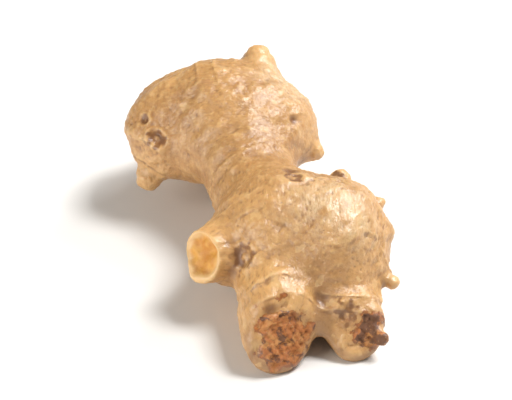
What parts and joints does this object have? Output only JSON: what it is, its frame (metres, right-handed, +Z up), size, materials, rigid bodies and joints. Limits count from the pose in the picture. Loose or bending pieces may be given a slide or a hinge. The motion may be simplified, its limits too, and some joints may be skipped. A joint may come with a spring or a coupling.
{
  "type": "ginger root",
  "caption": "Piece of fresh ginger root: a knobbly rhizome of joined lobes with blunt fingers and a cut shoot, lying on its flat bellies as loose produce or kitchen dressing.",
  "frame": {"origin": "on the surface it lies on, under the middle of its box", "axes": "+Y from the two fingers of the front lobe to the heel at the back, +Z up from the surface, +X to the right seen from the fingers' side with the cut shoot on the left"},
  "size_m": [0.0532, 0.0812, 0.03],
  "materials": {
    "ginger_skin": "thin dry corky skin, tan, matte with a faint sheen"
  },
  "bodies": {
    "root": {"rhizome": "ginger_skin"}
  },
  "joints": []
}
